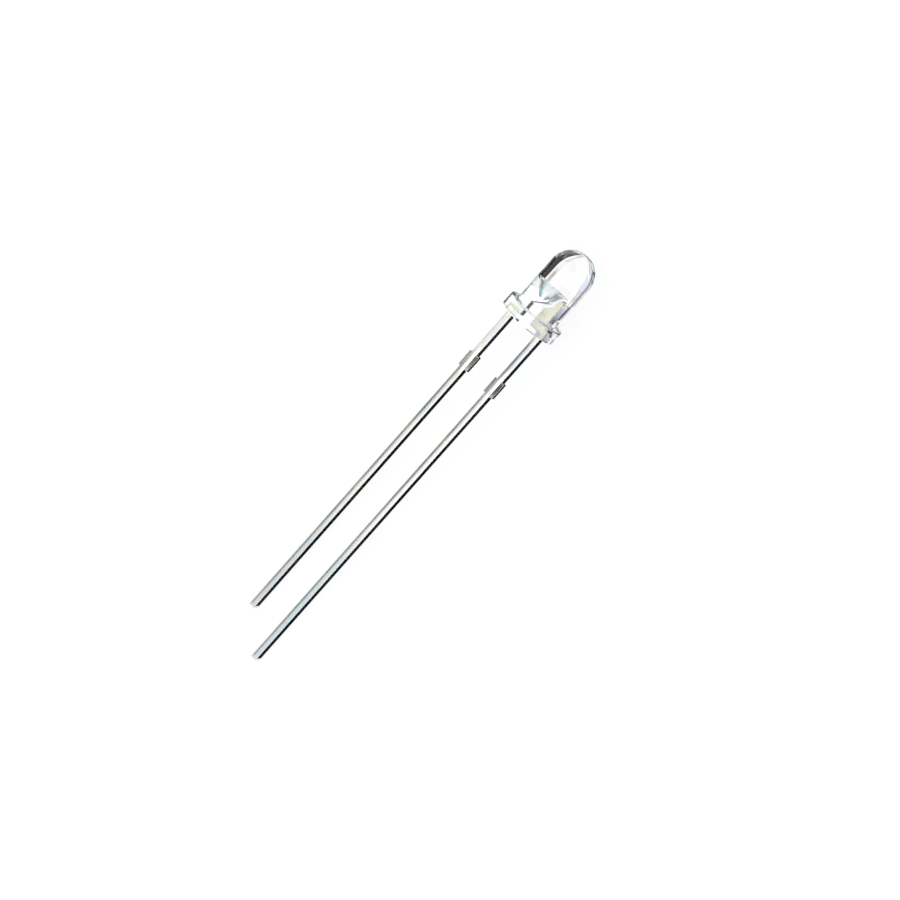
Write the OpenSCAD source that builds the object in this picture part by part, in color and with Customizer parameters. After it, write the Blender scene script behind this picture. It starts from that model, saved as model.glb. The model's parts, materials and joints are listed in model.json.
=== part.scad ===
// Round through-hole LED with a clear lens, lying on its flange rim and its two lead tips.
// Each piece is drawn upright first: the flange underside is at z = 0, the dome points up,
// the cathode is on the -x side and the anode on the +x side. laid() then rests the part
// on the ground with the dome towards +X and the cathode towards +Y.

/* [Lens] */
// Diameter of the round body above the flange
body_d = 3.0; // [2.8:0.1:3.4]
// Height from the underside of the flange to the tip of the dome
lens_h = 5.6; // [5:0.1:8]
// Diameter of the flange
flange_d = 4.0; // [3.8:0.1:5]
// Thickness of the flange
flange_h = 0.9; // [0.8:0.05:1.3]
// Depth of the flat that marks the cathode side of the flange
flat_depth = 0.25; // [0.1:0.05:0.35]
// Radius round the upper edge of the flange
flange_edge_r = 0.12; // [0.05:0.01:0.2]

/* [Leads] */
// Width and thickness of each square lead
lead_w = 0.46; // [0.4:0.02:0.54]
// Distance between the two leads, centre to centre
lead_pitch = 2.54; // [2.44:0.02:2.6]
// Length of the cathode lead below the flange
cathode_len = 25.7; // [15:0.1:30]
// How much longer the anode lead is than the cathode lead
anode_extra = 2.2; // [1:0.1:4]
// Distance from the flange down to the stub left by the cut tie bar
stub_drop = 3.8; // [2:0.1:6]
// Length of the stub along the lead
stub_len = 1.2; // [0.6:0.1:2]
// How far the stub stands out of each side of the lead
stub_proud = 0.15; // [0.05:0.01:0.25]

/* [Lead frame inside the lens] */
// Epoxy between the outer edges of the lead frame and the skin of the body
frame_cover = 0.5; // [0.4:0.05:0.6]
// Epoxy under the frame where it widens inside the flange
foot_cover = 0.15; // [0.1:0.05:0.25]
// Epoxy between the top of the flange and the shoulders where the frame steps in
step_cover = 0.05; // [0.02:0.01:0.1]
// Width of the neck that carries the reflector cup
neck_w = 0.58; // [0.5:0.02:0.64]
// Height at which the neck starts to lean under the cup
neck_h = 1.25; // [1.1:0.05:1.4]
// How far the tip of the anvil stands out past the foot of the cup
anvil_lip = 0.09; // [0.05:0.01:0.14]
// Height of the upright edge at the tip of the anvil
anvil_edge = 0.27; // [0.15:0.01:0.3]
// Width of the slanted gap between the anvil and the post
frame_gap = 0.28; // [0.2:0.02:0.36]
// Width of the gap between the neck and the foot of the post
foot_gap = 0.64; // [0.5:0.02:0.7]
// Height of the flat top of the post
post_h = 2.5; // [2.3:0.05:2.7]
// Size of the slanted corners at the top of the post
post_corner = 0.08; // [0.04:0.01:0.1]
// Gap between the rim of the cup and the post
post_gap = 0.09; // [0.06:0.01:0.14]

/* [Reflector cup] */
// Height of the rim of the cup
cup_rim_h = 2.75; // [2.6:0.05:3]
// Outer diameter of the cup at its rim
cup_d = 1.4; // [1.2:0.05:1.45]
// How far the cup sits off the axis of the lens, towards the cathode
cup_shift = 0.2; // [0:0.05:0.25]
// Outer diameter of the cup at its foot
cup_foot_d = 0.56; // [0.5:0.02:0.7]
// Outer height of the cup
cup_h = 0.95; // [0.8:0.05:1]
// Width of the flat rim
cup_rim_w = 0.09; // [0.05:0.01:0.12]
// Depth of the reflector
cup_depth = 0.45; // [0.35:0.05:0.55]
// Diameter of the flat floor of the reflector
cup_floor_d = 0.62; // [0.55:0.02:0.7]

/* [Chip and bond wire] */
// Side of the square chip
die_w = 0.3; // [0.2:0.02:0.36]
// Thickness of the chip
die_h = 0.2; // [0.1:0.02:0.25]
// Thickness of the adhesive under the chip
glue_t = 0.02; // [0.01:0.01:0.04]
// How far the adhesive spreads past the chip
glue_spread = 0.04; // [0.02:0.01:0.06]
// Diameter of the bond wire
wire_d = 0.03; // [0.02:0.01:0.05]
// Diameter of the ball that is bonded to the chip
ball_d = 0.1; // [0.08:0.01:0.14]
// Height of the flattened ball
ball_h = 0.04; // [0.03:0.01:0.06]
// Shortest straight rise of the wire before it bends over
wire_rise = 0.03; // [0.01:0.01:0.06]
// Radius of the wire's two bends
wire_bend = 0.12; // [0.08:0.01:0.16]
// Gap between the rim of the cup and the wire that passes over it
wire_over = 0.08; // [0.05:0.01:0.15]
// Length of the flattened end of the wire on the post
stitch_len = 0.12; // [0.08:0.01:0.16]
// Width of the flattened end
stitch_w = 0.06; // [0.05:0.01:0.08]
// Thickness of the flattened end
stitch_t = 0.015; // [0.01:0.005:0.02]

/* [Hidden] */
$fn = 96;

body_r = body_d / 2;
flange_r = flange_d / 2;
flat_x = flange_r - flat_depth;
dome_z = lens_h - body_r;
anode_len = cathode_len + anode_extra;
lead_x = lead_pitch / 2;
lead_out = lead_x + lead_w / 2;
lead_in = lead_x - lead_w / 2;

// The frame steps in from the leads to the body just below the top of the flange.
frame_x = body_r - frame_cover;
step_top = flange_h - step_cover;
step_low = step_top - (lead_out - frame_x);

// The anvil leans from the neck to just past the cup's foot, and the post follows it.
neck_x = -frame_x + neck_w;
cup_foot_z = cup_rim_h - cup_h;
anvil_half = cup_foot_d / 2 + anvil_lip;
anvil_x = anvil_half - cup_shift;
anvil_low = cup_foot_z + anvil_lip;
anvil_top = anvil_low + anvil_edge;
lean = (anvil_low - neck_h) / (anvil_x - neck_x);
post_in = cup_d / 2 - cup_shift + post_gap;
post_drop = frame_gap * sqrt(1 + lean * lean);
post_foot_x = neck_x + foot_gap;
function lean_z(x) = neck_h + lean * (x - neck_x);

// Levels of the chip and of the wire, from the floor of the reflector up.
cup_floor_z = cup_rim_h - cup_depth;
die_z = cup_floor_z + glue_t;
die_top = die_z + die_h;
ball_top = die_top + ball_h;
post_mid = (post_in + frame_x) / 2;
bend_z = max(cup_rim_h + wire_over + wire_d / 2 - wire_bend, max(ball_top, post_h) + wire_rise);

// Rest: the ground plane touches the flange rim and the outer lower edges of both tips.
// slope is its fall along the leads, turn its fall across them.
per_turn = anode_extra / lead_pitch;
reach = cathode_len + per_turn * lead_out;
qa = reach * reach - pow(flange_r * per_turn, 2);
qb = lead_w * reach;
qc = lead_w * lead_w / 4 - flange_r * flange_r;
slope = (-qb + sqrt(qb * qb - 4 * qa * qc)) / (2 * qa);
turn = slope * per_turn;
roll_deg = atan(turn);
tilt_deg = atan(slope / sqrt(1 + turn * turn));
axis_h = flange_r * cos(tilt_deg);

// Footprint of the laid part, to put the origin under its middle.
tip_up = lead_w / 2 * cos(roll_deg) + lead_out * sin(roll_deg);
x_low = -anode_len * cos(tilt_deg) - tip_up * sin(tilt_deg);
x_high = dome_z * cos(tilt_deg) + body_r;
y_low = -flange_r;
y_high = flange_r * cos(acos(flat_x / flange_r) - roll_deg);

module laid() {
    translate([-(x_low + x_high) / 2, -(y_low + y_high) / 2, axis_h])
        rotate([0, -tilt_deg, 0])
            rotate([-90, 0, 0])
                rotate([0, 90, 0])
                    rotate([0, 0, -roll_deg])
                        children();
}

// A stamped strip: an outline in x and z with the thickness of the lead sheet.
module stamped(points) {
    translate([0, lead_w / 2, 0])
        rotate([90, 0, 0])
            linear_extrude(height = lead_w)
                polygon(points);
}

// One straight lead with its tie-bar stub, at x and below the flange.
module lead_bar(x, len) {
    translate([x - lead_w / 2, -lead_w / 2, -len])
        cube([lead_w, lead_w, len]);
    translate([x - lead_w / 2 - stub_proud, -lead_w / 2, -stub_drop - stub_len])
        cube([lead_w + 2 * stub_proud, lead_w, stub_len]);
}

module cup_outside() {
    translate([-cup_shift, 0, cup_foot_z])
        cylinder(h = cup_h, d1 = cup_foot_d, d2 = cup_d);
}

module cup_inside() {
    translate([-cup_shift, 0, cup_floor_z])
        cylinder(h = cup_depth, d1 = cup_floor_d, d2 = cup_d - 2 * cup_rim_w);
}

module cathode_shape() {
    difference() {
        union() {
            lead_bar(-lead_x, cathode_len);
            stamped([
                [-lead_out, 0], [-lead_in, 0], [-lead_in, foot_cover], [neck_x, foot_cover],
                [neck_x, neck_h], [anvil_x, anvil_low], [anvil_x, anvil_top],
                [-anvil_half - cup_shift, anvil_top], [-frame_x, anvil_low], [-frame_x, step_top],
                [-lead_out, step_low]
            ]);
            cup_outside();
        }
        cup_inside();
    }
}

module anode_shape() {
    lead_bar(lead_x, anode_len);
    stamped([
        [lead_in, 0], [lead_out, 0], [lead_out, step_low], [frame_x, step_top],
        [frame_x, post_h - post_corner], [frame_x - post_corner, post_h],
        [post_in + post_corner, post_h], [post_in, post_h - post_corner],
        [post_in, lean_z(post_in) - post_drop],
        [post_foot_x, lean_z(post_foot_x) - post_drop],
        [post_foot_x, foot_cover], [lead_in, foot_cover]
    ]);
}

module die_shape() {
    translate([-cup_shift - die_w / 2, -die_w / 2, die_z])
        cube([die_w, die_w, die_h]);
}

module glue_shape() {
    translate([-cup_shift, 0, cup_floor_z])
        cylinder(h = glue_t, r = die_w / sqrt(2) + glue_spread);
}

// A quarter turn of the wire, from straight up to level, in the plane of the leads.
module wire_elbow() {
    translate([wire_bend, 0, 0])
        rotate([90, 0, 0])
            rotate([0, 0, 90])
                rotate_extrude(angle = 90)
                    translate([wire_bend, 0])
                        circle(d = wire_d);
}

module wire_shape() {
    translate([-cup_shift, 0, die_top])
        cylinder(h = ball_h, d = ball_d);
    translate([-cup_shift, 0, ball_top])
        cylinder(h = bend_z - ball_top, d = wire_d);
    translate([-cup_shift, 0, bend_z])
        wire_elbow();
    translate([wire_bend - cup_shift, 0, bend_z + wire_bend])
        rotate([0, 90, 0])
            cylinder(h = post_mid + cup_shift - 2 * wire_bend, d = wire_d);
    translate([post_mid, 0, bend_z])
        mirror([1, 0, 0])
            wire_elbow();
    translate([post_mid, 0, post_h])
        cylinder(h = bend_z - post_h, d = wire_d);
    translate([post_mid - wire_d / 2, -stitch_w / 2, post_h])
        cube([stitch_len, stitch_w, stitch_t]);
}

module lens_outline() {
    square([flange_r, flange_h - flange_edge_r]);
    square([flange_r - flange_edge_r, flange_h]);
    translate([flange_r - flange_edge_r, flange_h - flange_edge_r])
        circle(r = flange_edge_r);
    square([body_r, dome_z]);
    intersection() {
        translate([0, dome_z])
            circle(r = body_r);
        square([body_r, lens_h]);
    }
}

module lens_case() {
    color([0.85, 0.92, 0.95, 0.45])
        laid()
            difference() {
                rotate_extrude()
                    lens_outline();
                translate([-2 * flange_r - flat_x, -flange_r, -flange_h])
                    cube([2 * flange_r, 2 * flange_r, 3 * flange_h]);
                cathode_shape();
                anode_shape();
                die_shape();
                glue_shape();
                wire_shape();
            }
}

module cathode_lead() {
    color([0.78, 0.78, 0.76])
        laid()
            cathode_shape();
}

module anode_lead() {
    color([0.78, 0.78, 0.76])
        laid()
            anode_shape();
}

module led_die() {
    color([0.25, 0.3, 0.36])
        laid()
            die_shape();
}

module die_attach() {
    color([0.7, 0.7, 0.68])
        laid()
            glue_shape();
}

module bond_wire() {
    color([0.95, 0.75, 0.3])
        laid()
            wire_shape();
}

lens_case();
cathode_lead();
anode_lead();
led_die();
die_attach();
bond_wire();
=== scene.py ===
import json
import math
import bmesh
import bpy
from mathutils import Matrix, Vector


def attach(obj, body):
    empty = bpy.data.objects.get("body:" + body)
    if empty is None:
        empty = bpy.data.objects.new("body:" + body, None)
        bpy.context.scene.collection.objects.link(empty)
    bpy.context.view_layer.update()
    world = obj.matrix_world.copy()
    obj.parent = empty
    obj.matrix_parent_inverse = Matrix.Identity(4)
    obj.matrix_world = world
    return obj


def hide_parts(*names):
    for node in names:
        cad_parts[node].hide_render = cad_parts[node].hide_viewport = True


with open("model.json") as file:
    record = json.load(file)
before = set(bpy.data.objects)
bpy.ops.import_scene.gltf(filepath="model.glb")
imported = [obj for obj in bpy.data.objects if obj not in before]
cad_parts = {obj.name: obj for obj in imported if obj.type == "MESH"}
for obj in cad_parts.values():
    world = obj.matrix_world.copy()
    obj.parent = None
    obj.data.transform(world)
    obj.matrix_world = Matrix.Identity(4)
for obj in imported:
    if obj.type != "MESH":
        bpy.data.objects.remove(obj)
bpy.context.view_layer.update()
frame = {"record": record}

# The view: the lens points to the upper right, the shorter lead lies on the left, and the camera
# looks down on the part from the dome's side, turned towards the longer lead.
MM = 0.001
AZIMUTH = math.radians(25.3)
ELEVATION = math.radians(66.44)
CAMERA_ROLL = math.radians(-70.4)
CAMERA_DISTANCE = 252.65 * MM
LOOK_AT = Vector((1.815, -1.42, 0.775)) * MM
camera_data = bpy.data.cameras.new("camera")
camera_data.lens = 161.36
camera_data.sensor_width = 36
camera_data.clip_start = 10 * MM
camera_data.clip_end = 10
camera = bpy.data.objects.new("camera", camera_data)
turned = (
    Matrix.Rotation(AZIMUTH, 4, "Z")
    @ Matrix.Rotation(math.pi / 2 - ELEVATION, 4, "X")
    @ Matrix.Rotation(CAMERA_ROLL, 4, "Z")
)
camera.matrix_world = Matrix.Translation(LOOK_AT) @ turned @ Matrix.Translation((0, 0, CAMERA_DISTANCE))
bpy.context.collection.objects.link(camera)
bpy.context.scene.camera = camera

# Cathode lead: one strip of tin-plated sheet, stamped square with a stub where the tie bar was cut,
# then coined at its inner end into the reflector cup that carries the chip.
# Every piece is made upright, dome up and flange underside at zero, and then laid on the ground.
mounts = {m["name"]: m for m in frame["record"]["mounts"]}
seat = Vector(mounts["seating_face"]["pos_m"])
dome_way = -Vector(mounts["seating_face"]["axis"]).normalized()
anode_way = Vector(mounts["anode_lead_end"]["pos_m"]) - Vector(mounts["cathode_lead_end"]["pos_m"])
anode_way = (anode_way - dome_way * anode_way.dot(dome_way)).normalized()
UPRIGHT_TO_LAID = Matrix((anode_way, dome_way.cross(anode_way), dome_way)).transposed().to_4x4()
UPRIGHT_TO_LAID.translation = seat

LEAD_W = 0.46 * MM
LEAD_X = 1.27 * MM
LEAD_OUT = LEAD_X + LEAD_W / 2
LEAD_IN = LEAD_X - LEAD_W / 2
EDGE_R = 0.03 * MM
CATHODE_LEN = 25.7 * MM
STUB_TOP = 3.8 * MM
STUB_LOW = 5.0 * MM
STUB_PROUD = 0.15 * MM
ROLL_ROWS = 6
EAR_FROM = 0.15 * MM
EAR_DROP = 0.17 * MM
EAR_ROWS = 6
FRAME_X = 1.0 * MM
STEP_TOP = 0.85 * MM
STEP_LOW = 0.35 * MM
FOOT_LOW = 0.15 * MM
NECK_X = -0.42 * MM
NECK_H = 1.25 * MM
CUP_FOOT_R = 0.28 * MM
CUP_FOOT_Z = 1.8 * MM
CUP_RIM_Z = 2.75 * MM
CUP_R = 0.7 * MM
CUP_X = -0.2 * MM
CUP_RIM_W = 0.09 * MM
CUP_FLOOR_Z = 2.3 * MM
CUP_FLOOR_R = 0.31 * MM
ANVIL_HALF = 0.37 * MM
ANVIL_X = CUP_X + ANVIL_HALF
ANVIL_LOW = 1.89 * MM
ANVIL_TOP = 2.16 * MM


def stamped_strip(outline):
    """A flat strip with this outline in x and z, as thick as the lead sheet, its edges eased."""
    strip = bmesh.new()
    face = strip.faces.new([strip.verts.new((x, -LEAD_W / 2, z)) for x, z in outline])
    grown = bmesh.ops.extrude_face_region(strip, geom=[face])
    moved = [v for v in grown["geom"] if isinstance(v, bmesh.types.BMVert)]
    bmesh.ops.translate(strip, verts=moved, vec=(0, LEAD_W, 0))
    bmesh.ops.recalc_face_normals(strip, faces=strip.faces)
    bmesh.ops.bevel(
        strip, geom=strip.edges[:], offset=EDGE_R, offset_type="OFFSET", segments=3, profile=0.5,
        affect="EDGES", material=-1, clamp_overlap=True,
    )
    return strip


def rolled_over(strip, x, drops):
    """Rolls the left edge of a lead's front down a little, and the right ear of its stub more.

    drops gives, from the flange down, heights and how far the left edge has sunk there.
    """
    left = [x - LEAD_W / 2 * k / ROLL_ROWS for k in range(ROLL_ROWS)]
    ear = [x + EAR_FROM + (LEAD_W / 2 + STUB_PROUD - EAR_FROM) * k / EAR_ROWS for k in range(EAR_ROWS)]
    levels = [height for height, drop in drops] + [0.2 * MM - STUB_TOP, -0.2 * MM - STUB_LOW]
    for place, way in [((row, 0, 0), (1, 0, 0)) for row in left + ear] + [((0, 0, z), (0, 0, 1)) for z in levels]:
        bmesh.ops.bisect_plane(
            strip, geom=strip.verts[:] + strip.edges[:] + strip.faces[:], dist=0.0001 * MM,
            plane_co=place, plane_no=way,
        )
    for v in strip.verts:
        if v.co.y > 0 or v.co.z > drops[0][0]:
            continue
        for (high, first), (low, second) in zip(drops, drops[1:]):
            if low <= v.co.z <= high:
                drop = first + (second - first) * (high - v.co.z) / (high - low)
                v.co.y += drop * max(0, min(1, (x - v.co.x) / (LEAD_W / 2))) ** 1.6
                break
        if -STUB_LOW - EDGE_R < v.co.z < EDGE_R - STUB_TOP and v.co.x > x + EAR_FROM:
            v.co.y += EAR_DROP * (v.co.x - x - EAR_FROM) / (LEAD_W / 2 + STUB_PROUD - EAR_FROM)
    return strip


def side_of_lead(x, length, way):
    """Outline of a straight lead with its stub, from the flange down one side and up the other."""
    near, far = x - way * LEAD_W / 2, x + way * LEAD_W / 2
    return [
        (near, -STUB_TOP), (near - way * STUB_PROUD, -STUB_TOP), (near - way * STUB_PROUD, -STUB_LOW),
        (near, -STUB_LOW), (near, -length), (far, -length), (far, -STUB_LOW),
        (far + way * STUB_PROUD, -STUB_LOW), (far + way * STUB_PROUD, -STUB_TOP), (far, -STUB_TOP),
    ]


def finished(mesh_maker, name, replaced, material, smooth_angle=40):
    """Lays a piece on the ground and puts it in the scene in place of its plain solid."""
    bmesh.ops.transform(mesh_maker, matrix=UPRIGHT_TO_LAID, verts=mesh_maker.verts)
    mesh = bpy.data.meshes.new(name)
    for edge in mesh_maker.edges:
        edge.smooth = len(edge.link_faces) == 2 and edge.calc_face_angle(0) < math.radians(smooth_angle)
    mesh_maker.to_mesh(mesh)
    mesh_maker.free()
    mesh.shade_smooth()
    piece = bpy.data.objects.new(name, mesh)
    bpy.context.collection.objects.link(piece)
    mesh.materials.append(material)
    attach(piece, "root")
    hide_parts(replaced)
    return piece


class Level:
    """A number or colour that runs through a material's nodes."""

    def __init__(self, finish, socket):
        self.finish = finish
        self.socket = socket

    def math(self, operation, first, second):
        return self.finish.node("Math", {"operation": operation}, {0: first, 1: second})

    def __add__(self, other):
        return self.math("ADD", self, other)

    def __mul__(self, other):
        return self.math("MULTIPLY", self, other)

    def __sub__(self, other):
        return self.math("SUBTRACT", self, other)

    def __rsub__(self, other):
        return self.math("SUBTRACT", other, self)

    __radd__ = __add__
    __rmul__ = __mul__


class Finish:
    """The nodes of one finish, in a material or in the world."""

    def __init__(self, owner):
        owner.use_nodes = True
        self.tree = owner.node_tree
        self.tree.nodes.clear()

    def node(self, kind, settings, sockets, output=0):
        made = self.tree.nodes.new("ShaderNode" + kind)
        for key, value in settings.items():
            if key == "stops":
                ramp = made.color_ramp.elements
                while len(ramp) < len(value):
                    ramp.new(1)
                for stop, (place, colour) in zip(ramp, value):
                    stop.position = place
                    stop.color = (*colour, 1)
            else:
                setattr(made, key, value)
        for key, value in sockets.items():
            if isinstance(value, Level):
                self.tree.links.new(value.socket, made.inputs[key])
            else:
                made.inputs[key].default_value = value
        return Level(self, made.outputs[output]) if made.outputs else None

    def blend(self, share, first, second):
        """A colour between two colours."""
        return self.node("Mix", {"data_type": "RGBA"}, {0: share, 6: first, 7: second}, 2)


LEAD_TURN = (0, -math.atan2(dome_way.z, dome_way.x), 0)


def tin_plate(name, silver):
    """Bright tin over steel, drawn lines along the lead and a faint tarnish, and silver in the case."""
    material = bpy.data.materials.new(name)
    tin = Finish(material)
    place = tin.node("TexCoord", {}, {}, 3)
    along = tin.node("Mapping", {}, {"Vector": place, "Rotation": LEAD_TURN})
    drawn_out = tin.node("Mapping", {}, {"Vector": along, "Scale": (0.12, 1, 1)})
    lines = tin.node("TexNoise", {}, {"Vector": drawn_out, "Scale": 14000, "Detail": 4, "Roughness": 0.6})
    clouds = tin.node("TexNoise", {}, {"Vector": along, "Scale": 450, "Detail": 3, "Roughness": 0.55})
    pits = tin.node("TexNoise", {}, {"Vector": along, "Scale": 9000, "Detail": 2})
    warm = tin.node("ValToRGB", {"stops": [(0.35, (0.80, 0.82, 0.83)), (0.62, (0.86, 0.83, 0.76))]}, {0: clouds})
    outside = tin.blend(lines * 0.35, warm, (0.93, 0.93, 0.92, 1))
    reach = tin.node("SeparateXYZ", {}, {0: along}, 0)
    cased = tin.node("ValToRGB", {"stops": [(0.0, (0, 0, 0)), (1.0, (1, 1, 1))]}, {0: (reach - seat.x) * 8000})
    colour = tin.blend(cased, outside, (*silver, 1))
    relief = tin.node("Bump", {}, {"Strength": 0.25, "Distance": 0.004 * MM, "Height": lines + pits * 0.6})
    shader = tin.node("BsdfPrincipled", {}, {
        "Base Color": colour, "Metallic": 1.0, "Roughness": 0.16 + clouds * 0.16, "Normal": relief,
    })
    tin.node("OutputMaterial", {}, {"Surface": shader})
    return material


CATHODE_DROPS = [
    (-0.3 * MM, 0), (-1.0 * MM, 0.002 * MM), (-3.2 * MM, 0.002 * MM), (-4.0 * MM, 0.010 * MM),
    (-5.4 * MM, 0.020 * MM), (-8.0 * MM, 0.024 * MM), (-12.0 * MM, 0.030 * MM),
    (0.3 * MM - CATHODE_LEN, 0.030 * MM), (-CATHODE_LEN, 0.030 * MM),
]
cathode_strip = rolled_over(stamped_strip(
    side_of_lead(-LEAD_X, CATHODE_LEN, 1)
    + [
        (-LEAD_IN, FOOT_LOW), (NECK_X, FOOT_LOW), (NECK_X, NECK_H), (ANVIL_X, ANVIL_LOW),
        (ANVIL_X, ANVIL_TOP), (CUP_X - ANVIL_HALF, ANVIL_TOP), (-FRAME_X, ANVIL_LOW), (-FRAME_X, STEP_TOP),
        (-LEAD_OUT, STEP_LOW),
    ]
), -LEAD_X, CATHODE_DROPS)
cup_side = [
    (0, CUP_FOOT_Z), (CUP_FOOT_R, CUP_FOOT_Z), (CUP_R - 0.01 * MM, CUP_RIM_Z - 0.02 * MM),
    (CUP_R - 0.02 * MM, CUP_RIM_Z), (CUP_R - CUP_RIM_W + 0.01 * MM, CUP_RIM_Z),
    (CUP_R - CUP_RIM_W, CUP_RIM_Z - 0.01 * MM), (CUP_FLOOR_R, CUP_FLOOR_Z), (0, CUP_FLOOR_Z),
]


def turned_round(side, steps, x=0):
    """A round solid from its side, given as radius and height, standing at x."""
    solid = bmesh.new()
    points = [solid.verts.new((r, 0, z)) for r, z in side]
    edges = [solid.edges.new(pair) for pair in zip(points, points[1:])]
    bmesh.ops.spin(
        solid, geom=points + edges, cent=(0, 0, 0), axis=(0, 0, 1), dvec=(0, 0, 0),
        angle=2 * math.pi, steps=steps, use_merge=True, use_duplicate=False,
    )
    bmesh.ops.remove_doubles(solid, verts=solid.verts, dist=0.0005 * MM)
    bmesh.ops.dissolve_degenerate(solid, edges=solid.edges, dist=0.0005 * MM)
    bmesh.ops.recalc_face_normals(solid, faces=solid.faces)
    bmesh.ops.translate(solid, verts=solid.verts, vec=(x, 0, 0))
    return solid


def join(first, second):
    """Adds the second shape to the first."""
    carrier = bpy.data.meshes.new("carrier")
    second.to_mesh(carrier)
    second.free()
    first.from_mesh(carrier)
    bpy.data.meshes.remove(carrier)
    return first


finished(
    join(cathode_strip, turned_round(cup_side, 96, CUP_X)), "cathode_strip", "cathode_lead",
    tin_plate("tinned_cathode", (0.91, 0.98, 0.99)),
)

# Die attach: a thin pad of silver-filled adhesive, dispensed on the cup floor and pressed out
# into a low collar when the chip was set into it, then cured.
GLUE_T = 0.02 * MM
DIE_W = 0.3 * MM
GLUE_R = DIE_W / math.sqrt(2) + 0.04 * MM
glue_side = [
    (0, CUP_FLOOR_Z), (GLUE_R, CUP_FLOOR_Z), (GLUE_R - 0.004 * MM, CUP_FLOOR_Z + 0.4 * GLUE_T),
    (GLUE_R - 0.02 * MM, CUP_FLOOR_Z + 0.85 * GLUE_T), (GLUE_R - 0.04 * MM, CUP_FLOOR_Z + GLUE_T),
    (0, CUP_FLOOR_Z + GLUE_T),
]
silver_paste = bpy.data.materials.new("silver_paste")
paste = Finish(silver_paste)
spot = paste.node("TexCoord", {}, {}, 3)
flakes = paste.node("TexVoronoi", {}, {"Vector": spot, "Scale": 60000})
streaks = paste.node("TexNoise", {}, {"Vector": spot, "Scale": 12000, "Detail": 3})
paste_tone = paste.node("ValToRGB", {"stops": [(0.2, (0.55, 0.54, 0.50)), (0.8, (0.78, 0.78, 0.76))]}, {0: streaks})
paste_relief = paste.node("Bump", {}, {"Strength": 0.5, "Distance": 0.002 * MM, "Height": flakes})
paste.node("OutputMaterial", {}, {"Surface": paste.node("BsdfPrincipled", {}, {
    "Base Color": paste_tone, "Metallic": 0.6, "Roughness": 0.35 + flakes * 0.3, "Normal": paste_relief,
})})
finished(turned_round(glue_side, 64, CUP_X), "adhesive_pad", "die_attach", silver_paste)

# Chip: a square sawn from a crystal wafer, its top edges a little broken by the saw. The ball of
# the bond wire lands on its top face.
DIE_H = 0.2 * MM
DIE_Z = CUP_FLOOR_Z + GLUE_T
SAW_EDGE = 0.012 * MM
chip = bmesh.new()
bmesh.ops.create_cube(chip, size=1, matrix=Matrix.LocRotScale(
    Vector((CUP_X, 0, DIE_Z + DIE_H / 2)), None, Vector((DIE_W, DIE_W, DIE_H)),
))
bmesh.ops.bevel(
    chip, geom=[e for e in chip.edges if all(v.co.z > DIE_Z + DIE_H / 2 for v in e.verts)], offset=SAW_EDGE,
    segments=2, profile=0.5, affect="EDGES", material=-1,
)
crystal = bpy.data.materials.new("sawn_crystal")
cut_face = Finish(crystal)
grain = cut_face.node("TexCoord", {}, {}, 3)
saw_lines = cut_face.node("TexWave", {"bands_direction": "X"}, {
    "Vector": grain, "Scale": 25000, "Distortion": 3, "Detail": 3,
})
haze = cut_face.node("TexNoise", {}, {"Vector": grain, "Scale": 9000, "Detail": 2})
crystal_tone = cut_face.node("ValToRGB", {"stops": [(0.3, (0.10, 0.13, 0.20)), (0.7, (0.24, 0.28, 0.36))]}, {0: haze})
saw_relief = cut_face.node("Bump", {}, {"Strength": 0.35, "Distance": 0.002 * MM, "Height": saw_lines})
cut_face.node("OutputMaterial", {}, {"Surface": cut_face.node("BsdfPrincipled", {}, {
    "Base Color": crystal_tone, "Roughness": 0.18 + saw_lines * 0.2, "IOR": 1.77, "Normal": saw_relief,
})})
finished(chip, "chip_body", "led_die", crystal)

# Anode lead: the longer strip, stamped from the same sheet, with a foot under the cup
# and a post whose flat top takes the bond wire.
ANODE_LEN = 27.9 * MM
POST_IN = 0.59 * MM
POST_H = 2.5 * MM
POST_CORNER = 0.08 * MM
POST_FOOT_X = 0.22 * MM
LEAN = (ANVIL_LOW - NECK_H) / (ANVIL_X - NECK_X)
POST_DROP = 0.28 * MM * math.sqrt(1 + LEAN ** 2)


def under_anvil(x):
    return NECK_H + LEAN * (x - NECK_X) - POST_DROP


ANODE_DROPS = [
    (-0.3 * MM, 0), (-1.0 * MM, 0.026 * MM), (-2.8 * MM, 0.026 * MM), (-3.8 * MM, 0.012 * MM),
    (-5.6 * MM, 0.014 * MM), (-7.5 * MM, 0.032 * MM), (0.3 * MM - ANODE_LEN, 0.032 * MM),
    (-ANODE_LEN, 0.032 * MM),
]
anode_strip = rolled_over(stamped_strip(
    side_of_lead(LEAD_X, ANODE_LEN, -1)
    + [
        (LEAD_IN, FOOT_LOW), (POST_FOOT_X, FOOT_LOW), (POST_FOOT_X, under_anvil(POST_FOOT_X)),
        (POST_IN, under_anvil(POST_IN)), (POST_IN, POST_H - POST_CORNER), (POST_IN + POST_CORNER, POST_H),
        (FRAME_X - POST_CORNER, POST_H), (FRAME_X, POST_H - POST_CORNER), (FRAME_X, STEP_TOP),
        (LEAD_OUT, STEP_LOW),
    ]
), LEAD_X, ANODE_DROPS)
finished(anode_strip, "anode_strip", "anode_lead", tin_plate("tinned_anode", (0.96, 0.96, 0.94)))

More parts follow.
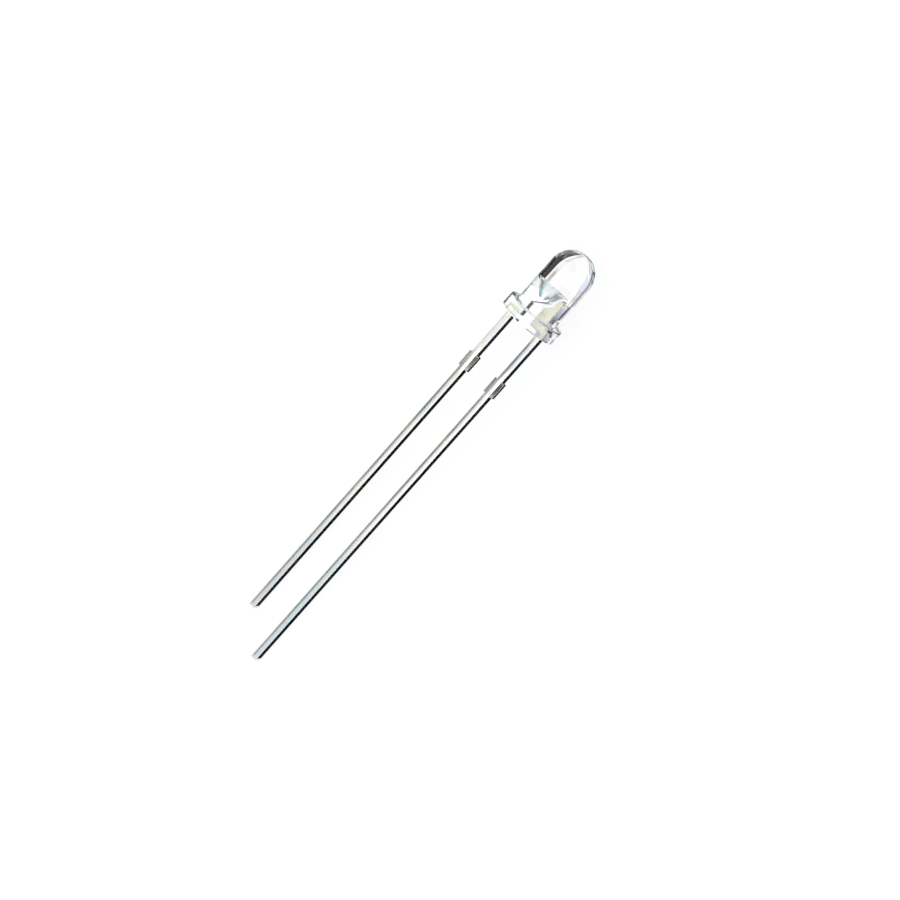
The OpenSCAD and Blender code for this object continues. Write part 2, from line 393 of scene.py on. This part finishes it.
# Bond wire: a hair of gold, melted to a ball on the chip, led low over the rim of the cup and
# pressed flat on the post.
WIRE_R = 0.015 * MM
BALL_R = 0.05 * MM
BALL_H = 0.04 * MM
WIRE_BEND = 0.12 * MM
WIRE_OVER = 0.08 * MM
DIE_TOP = DIE_Z + DIE_H
BALL_TOP = DIE_TOP + BALL_H
BEND_Z = CUP_RIM_Z + WIRE_OVER + WIRE_R - WIRE_BEND
POST_MID = (POST_IN + FRAME_X) / 2
STITCH_LEN = 0.12 * MM
STITCH_W = 0.06 * MM
STITCH_T = 0.015 * MM
ball_side = [
    (0, DIE_TOP), (BALL_R - 0.006 * MM, DIE_TOP), (BALL_R, DIE_TOP + 0.3 * BALL_H),
    (BALL_R, DIE_TOP + 0.55 * BALL_H), (BALL_R - 0.012 * MM, DIE_TOP + 0.85 * BALL_H),
    (WIRE_R, BALL_TOP), (0, BALL_TOP),
]
wire = bmesh.new()
ring = bmesh.ops.create_circle(wire, segments=16, radius=WIRE_R, matrix=Matrix.Translation((CUP_X, 0, BALL_TOP)))
drawn = [v for v in ring["verts"]]


def drawn_on(verts, way):
    """Carries the open end of the wire on in a straight line."""
    rim = [e for e in wire.edges if all(v in verts for v in e.verts)]
    grown = bmesh.ops.extrude_edge_only(wire, edges=rim)
    new = [v for v in grown["geom"] if isinstance(v, bmesh.types.BMVert)]
    bmesh.ops.translate(wire, verts=new, vec=way)
    return new


def bent_over(verts, x):
    """Turns the open end of the wire a quarter round a bend at x."""
    rim = verts + [e for e in wire.edges if all(v in verts for v in e.verts)]
    bent = bmesh.ops.spin(
        wire, geom=rim, cent=(x, 0, BEND_Z), axis=(0, 1, 0), dvec=(0, 0, 0),
        angle=math.pi / 2, steps=12, use_merge=False, use_duplicate=False,
    )
    return [v for v in bent["geom_last"] if isinstance(v, bmesh.types.BMVert)]


drawn = drawn_on(drawn, (0, 0, BEND_Z - BALL_TOP))
drawn = bent_over(drawn, CUP_X + WIRE_BEND)
drawn = drawn_on(drawn, (POST_MID - CUP_X - 2 * WIRE_BEND, 0, 0))
drawn = bent_over(drawn, POST_MID - WIRE_BEND)
drawn_on(drawn, (0, 0, POST_H - BEND_Z))
bmesh.ops.holes_fill(wire, edges=wire.edges[:], sides=0)
bmesh.ops.recalc_face_normals(wire, faces=wire.faces)
stitch = bmesh.new()
bmesh.ops.create_cube(stitch, size=1, matrix=Matrix.LocRotScale(
    Vector((POST_MID - WIRE_R + STITCH_LEN / 2, 0, POST_H + STITCH_T / 2)), None,
    Vector((STITCH_LEN, STITCH_W, STITCH_T)),
))
bmesh.ops.bevel(
    stitch, geom=[e for e in stitch.edges if all(v.co.z > POST_H + STITCH_T / 2 for v in e.verts)],
    offset=0.006 * MM, segments=2, profile=0.5, affect="EDGES", material=-1,
)
gold = bpy.data.materials.new("gold_wire")
drawn_gold = Finish(gold)
spot = drawn_gold.node("TexCoord", {}, {}, 3)
die_marks = drawn_gold.node("TexNoise", {}, {"Vector": spot, "Scale": 30000, "Detail": 3})
gold_tone = drawn_gold.node("ValToRGB", {"stops": [(0.3, (0.90, 0.66, 0.28)), (0.7, (1.0, 0.80, 0.42))]}, {0: die_marks})
gold_relief = drawn_gold.node("Bump", {}, {"Strength": 0.2, "Distance": 0.001 * MM, "Height": die_marks})
drawn_gold.node("OutputMaterial", {}, {"Surface": drawn_gold.node("BsdfPrincipled", {}, {
    "Base Color": gold_tone, "Metallic": 1.0, "Roughness": 0.18 + die_marks * 0.15, "Normal": gold_relief,
})})
finished(
    join(join(wire, turned_round(ball_side, 32, CUP_X)), stitch), "looped_wire", "bond_wire", gold,
)

# Lens case: clear epoxy cast round the lead frame in a polished mould. Dome, body and flange
# are one piece; the flat on the flange marks the cathode side.
BODY_R = mounts["body_in_holder"]["dims"]["r_mm"] * MM
FLANGE_R = 2.0 * MM
FLANGE_H = 0.9 * MM
FLANGE_EDGE = 0.12 * MM
FLAT_X = 1.75 * MM
DOME_Z = 4.1 * MM
ROOT_R = 0.06 * MM


def arc(centre, radius, start, end, steps):
    """Points of a round stretch of a side, by angle in degrees."""
    turns = [math.radians(start + (end - start) * k / steps) for k in range(steps + 1)]
    return [(centre[0] + radius * math.cos(a), centre[1] + radius * math.sin(a)) for a in turns]


lens_side = (
    [(0, 0), (FLANGE_R, 0)]
    + arc((FLANGE_R - FLANGE_EDGE, FLANGE_H - FLANGE_EDGE), FLANGE_EDGE, 0, 90, 8)
    + arc((BODY_R + ROOT_R, FLANGE_H + ROOT_R), ROOT_R, 270, 180, 6)
    + arc((0, DOME_Z), BODY_R, 0, 90, 48)
)
lens = turned_round(lens_side, 192)
cut = bmesh.ops.bisect_plane(
    lens, geom=lens.verts[:] + lens.edges[:] + lens.faces[:], dist=0.0001 * MM,
    plane_co=(-FLAT_X, 0, 0), plane_no=(-1, 0, 0), clear_outer=True,
)
bmesh.ops.holes_fill(lens, edges=[e for e in cut["geom_cut"] if isinstance(e, bmesh.types.BMEdge)], sides=0)
bmesh.ops.recalc_face_normals(lens, faces=lens.faces)

epoxy = bpy.data.materials.new("clear_epoxy")
resin = Finish(epoxy)
skin = resin.node("TexCoord", {}, {}, 3)
swirl = resin.node("TexNoise", {}, {"Vector": skin, "Scale": 500, "Detail": 2})
waves = resin.node("Bump", {}, {"Strength": 0.12, "Distance": 0.01 * MM, "Height": swirl})
body = resin.node("BsdfPrincipled", {}, {
    "Base Color": (0.985, 0.995, 1.0, 1), "Roughness": 0.0, "IOR": 1.53, "Transmission Weight": 1.0,
    "Normal": waves,
})
resin.node("OutputMaterial", {}, {"Surface": body})
finished(lens, "lens_moulding", "lens_case", epoxy)

# The ground and the light: a plain white sheet under the part, a large soft box overhead,
# an even pale surround, and glowing cards out of sight that light nothing and cast no shadow,
# painting shade and reflections into the metal and the lens.
bpy.ops.mesh.primitive_plane_add(size=4, location=(0, 0, 0))
ground = bpy.context.object
ground.name = "ground_sheet"
paper = bpy.data.materials.new("white_sheet")
sheet = Finish(paper)
seen = sheet.node("LightPath", {}, {}, 0)
mirrored = sheet.node("LightPath", {}, {}, 3)
looked_through = sheet.node("LightPath", {}, {}, 6)
plain = sheet.node("BsdfDiffuse", {}, {"Color": (0.9, 0.9, 0.9, 1)})
glow = sheet.node("Emission", {}, {"Color": (1, 1, 1, 1), "Strength": 1.0})
GLOW_SHARE = 0.88
lit = sheet.node("MixShader", {}, {0: (seen + mirrored + looked_through) * GLOW_SHARE, 1: plain, 2: glow})
sheet.node("OutputMaterial", {}, {"Surface": lit})
ground.data.materials.append(paper)

world = bpy.data.worlds.new("surround")
bpy.context.scene.world = world
air = Finish(world)
air.node("OutputWorld", {}, {"Surface": air.node("Background", {}, {"Color": (0.97, 0.985, 1, 1), "Strength": 0.88})})


def card(name, corners, tone):
    """A glowing card out of the camera's sight, seen only in metal and through the lens: painted shade or reflection.
    """
    cut = bmesh.new()
    cut.faces.new([cut.verts.new(Vector(corner) * MM) for corner in corners])
    mesh = bpy.data.meshes.new(name)
    cut.to_mesh(mesh)
    cut.free()
    piece = bpy.data.objects.new(name, mesh)
    bpy.context.collection.objects.link(piece)
    board = bpy.data.materials.new(name)
    face = Finish(board)
    face.node("OutputMaterial", {}, {"Surface": face.node("Emission", {}, {"Color": (*tone, 1), "Strength": 1.0})})
    mesh.materials.append(board)
    piece.visible_camera = False
    piece.visible_diffuse = False
    piece.visible_shadow = False


def floor_card(name, x, y, tone, z=0.02):
    """A level card from the first to the second x and y, at height z, in millimetres."""
    card(name, [(x[0], y[0], z), (x[1], y[0], z), (x[1], y[1], z), (x[0], y[1], z)], tone)


def shade_strip_beside(name, x, length, tone):
    """A narrow strip just under the right edge of the lead at x: painted shadow that the lead's side face reflects.
    """
    inner, outer, low = x + LEAD_W / 2 - 0.1 * MM, x + LEAD_W / 2 + 0.6 * MM, LEAD_W / 2 + 0.04 * MM
    end = -length - 0.6 * MM
    ring = [(inner, low, -0.05 * MM), (outer, low, -0.05 * MM), (outer, low, end), (inner, low, end)]
    card(name, [UPRIGHT_TO_LAID @ Vector(corner) / MM for corner in ring], tone)


def sky_card(name, azimuths, elevations, tone):
    """A card that hangs round the part, between two azimuths and two elevations in degrees."""
    sides = [(azimuths[0], elevations[0]), (azimuths[1], elevations[0]), (azimuths[1], elevations[1]),
             (azimuths[0], elevations[1])]
    card(name, [
        (160 * math.cos(math.radians(e)) * math.cos(math.radians(a)),
         160 * math.cos(math.radians(e)) * math.sin(math.radians(a)), 160 * math.sin(math.radians(e)))
        for a, e in sides
    ], tone)


# Near-black tones of the painted shade.
SHADE_NAVY = (0.003, 0.004, 0.012)
SHADE_BROWN = (0.012, 0.006, 0.008)
# The leads' own painted contact shadow, seen in their dark right side faces.
shade_strip_beside("shade_strip_cathode", -LEAD_X, CATHODE_LEN, SHADE_NAVY)
shade_strip_beside("shade_strip_anode", LEAD_X, ANODE_LEN, SHADE_NAVY)
TAN = (0.62, 0.55, 0.48)
# Level cards under the lens: painted shade bands, painted tan lines and pale tints, seen through the lens down both
# sides and round the dome.
floor_card("shade_left_band", (13.4, 15.15), (-0.9, 0.71), SHADE_BROWN)
floor_card("card_left_line", (13.4, 14.52), (0.785, 0.865), TAN)
floor_card("card_left_fade", (14.52, 14.8), (0.785, 0.865), (0.82, 0.79, 0.78))
floor_card("card_right_line", (13.0, 14.62), (1.12, 1.32), TAN, 0.3)
floor_card("card_right_pale", (13.4, 15.15), (1.85, 2.6), (0.66, 0.68, 0.80))
floor_card("card_dome_pale", (14.45, 15.15), (1.4, 1.85), (0.74, 0.74, 0.86))
floor_card("card_right_band", (13.2, 15.15), (2.6, 25), (0.09, 0.09, 0.13))
floor_card("shade_right_low", (10.3, 13.2), (2.6, 25), SHADE_BROWN)
floor_card("shade_right_end", (11.6, 13.0), (1.9, 2.6), SHADE_BROWN)
# Painted shade beside the neck and the post, and painted tints seen in the cup, its rim, the dome and the flange.
floor_card("shade_neck_side", (11.1, 12.1), (-1.1, 0.5), SHADE_NAVY)
floor_card("shade_post_side", (11.6, 12.4), (-6, -1.4), (0.02, 0.02, 0.04))
floor_card("card_post_gap", (12.8, 13.4), (1.12, 1.38), (0.20, 0.22, 0.25))
floor_card("card_rim", (13.4, 13.6), (0.5, 0.95), (0.30, 0.26, 0.20), 0.04)
floor_card("card_ahead", (16.4, 18), (-3, 0.5), (0.20, 0.38, 0.62))
floor_card("card_cool", (7, 10.3), (-12, -1.0), (0.45, 0.85, 1.0))
floor_card("card_flange", (11.3, 11.8), (0.5, 0.7), (0.58, 0.58, 0.74))
floor_card("card_flange_right", (10.3, 11.3), (-6, -1.4), (0.50, 0.50, 0.66))
floor_card("card_flange_side", (12.4, 13.2), (-6, -1.4), (0.50, 0.50, 0.66))
# Cards hung round the part: painted dark, grey, cream, yellow and pale blue reflections in the leads, their tips, the
# cup and the lens.
sky_card("card_before", (-118, -78), (6, 64), (0.02, 0.02, 0.025))
sky_card("card_before_high", (-145, -118), (44, 60), (0.02, 0.02, 0.025))
sky_card("card_grey", (68, 115), (46, 58), (0.10, 0.11, 0.12))
sky_card("card_grey_low", (68, 130), (33, 46), (0.10, 0.11, 0.12))
sky_card("card_cream", (60, 120), (14, 33), (0.97, 0.93, 0.76))
sky_card("card_yellow", (-60, 30), (38, 66), (1.0, 0.93, 0.70))
card("card_tips", [(-45, 2, 30), (-17, 2, 30), (-17, 19, 30), (-45, 19, 30)], (0.72, 0.88, 0.98))
card("card_beyond", [(-30, 30, 0), (50, 30, 0), (50, 30, 2), (-30, 30, 2)], (0.02, 0.02, 0.02))

box_data = bpy.data.lights.new("soft_box", "AREA")
box_data.shape = "RECTANGLE"
BOX_X = 0.6
BOX_Y = 0.5
BOX_RADIANCE = 1.1
box_data.size = BOX_X
box_data.size_y = BOX_Y
box_data.energy = math.pi * BOX_X * BOX_Y * BOX_RADIANCE
soft_box = bpy.data.objects.new("soft_box", box_data)
soft_box.location = (-0.05, -0.05, 0.38)
bpy.context.collection.objects.link(soft_box)
bpy.context.scene.view_settings.view_transform = "Standard"
